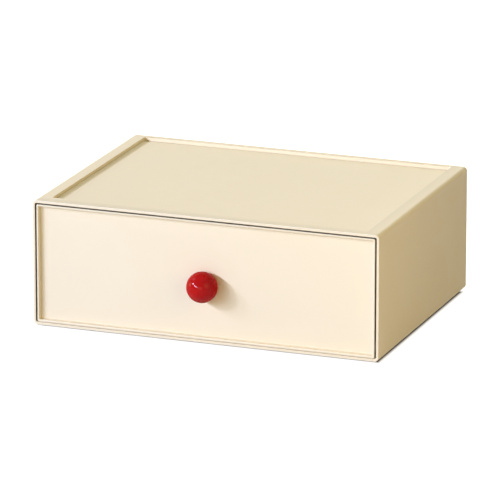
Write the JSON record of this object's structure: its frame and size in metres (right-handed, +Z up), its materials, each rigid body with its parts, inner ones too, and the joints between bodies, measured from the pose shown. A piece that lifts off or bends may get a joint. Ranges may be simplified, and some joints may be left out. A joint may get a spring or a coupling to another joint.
{
  "type": "stackable drawer box",
  "caption": "Low cream plastic box with a sunken stacking top and a sliding drawer whose sunken, thin-flanged front carries a red ball knob.",
  "frame": {"origin": "middle of the casing's footprint, on the plane of the foot soles", "axes": "+X to the right as seen from the front, +Y from the drawer front to the rear panel, +Z up"},
  "size_m": [0.28, 0.2242, 0.1003],
  "materials": {
    "cream_plastic": "satin, finely textured moulded plastic",
    "tub_plastic": "satin moulded plastic",
    "red_lacquer": "high gloss",
    "brass": "turned",
    "zinc_steel": "bright zinc",
    "grey_rubber": "matt"
  },
  "bodies": {
    "casing": {"casing_shell": "cream_plastic", "rear_panel": "cream_plastic", "foot_front_left": "grey_rubber", "foot_front_right": "grey_rubber", "foot_back_left": "grey_rubber", "foot_back_right": "grey_rubber"},
    "drawer": {"drawer_tub": "tub_plastic", "drawer_front": "cream_plastic", "knob_ball": "red_lacquer", "knob_insert": "brass", "knob_screw": "zinc_steel", "knob_washer": "zinc_steel"}
  },
  "joints": [
    {"name": "drawer_slide", "type": "slide", "parent": "casing", "child": "drawer", "axis": [0, -1, 0], "range_m": [0, 0.155]}
  ]
}
